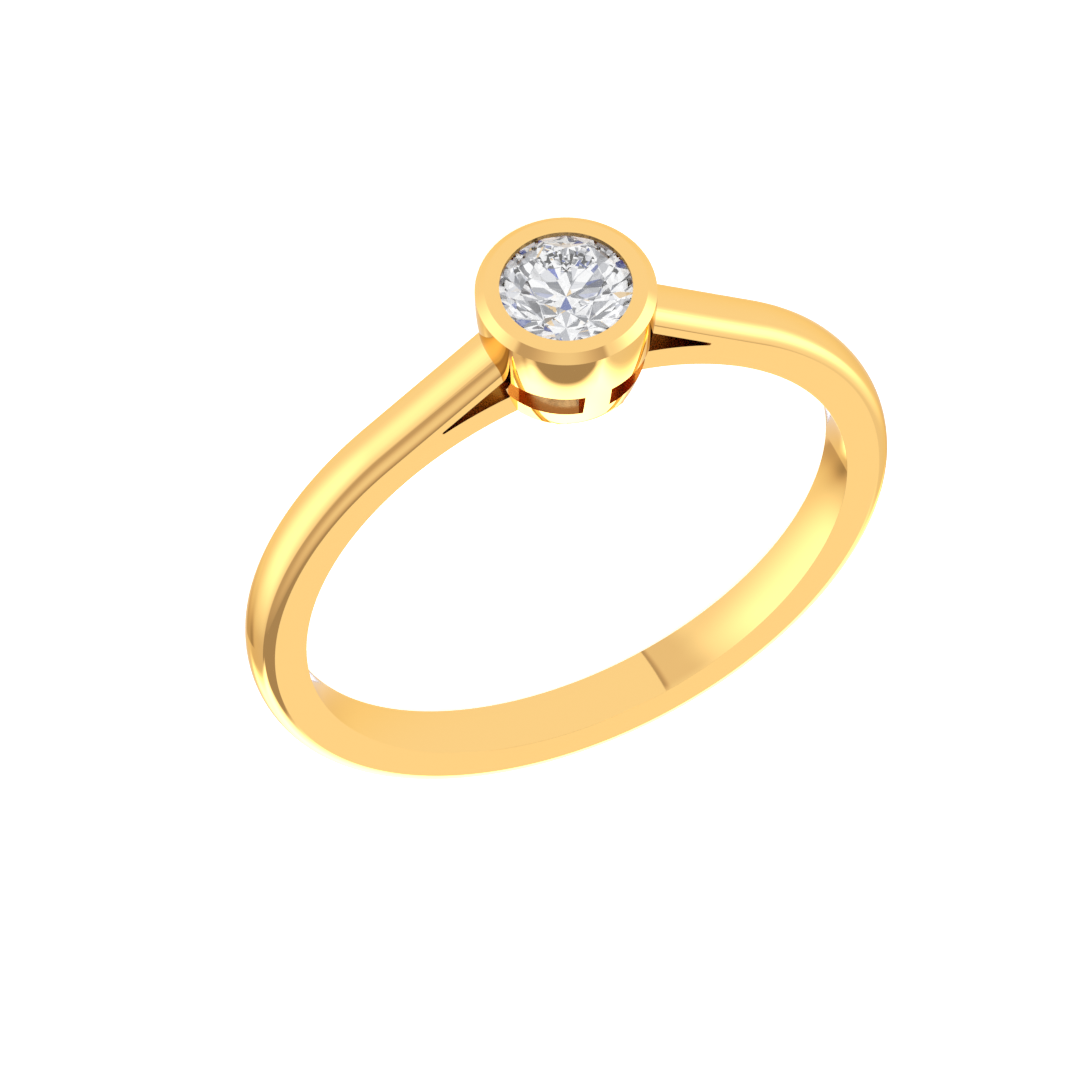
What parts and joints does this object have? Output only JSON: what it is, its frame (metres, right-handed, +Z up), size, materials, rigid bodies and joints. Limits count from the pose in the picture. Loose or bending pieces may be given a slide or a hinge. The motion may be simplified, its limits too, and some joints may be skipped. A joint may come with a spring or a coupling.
{
  "type": "bezel set ring",
  "caption": "Slim gold finger ring with a domed band, straight shoulders and a round stone in a pierced bezel cup.",
  "frame": {"origin": "on the surface that the ring lies on, under the middle of its box", "axes": "+Z up from the surface, Y along the ring from the band's far side (+Y) to the stone (-Y), X across"},
  "size_m": [0.02, 0.0228, 0.0053],
  "materials": {
    "gold": "polished yellow gold",
    "clear_stone": "faceted, clear and colourless"
  },
  "bodies": {
    "root": {"band_and_bezel": "gold", "stone": "clear_stone"}
  },
  "joints": []
}
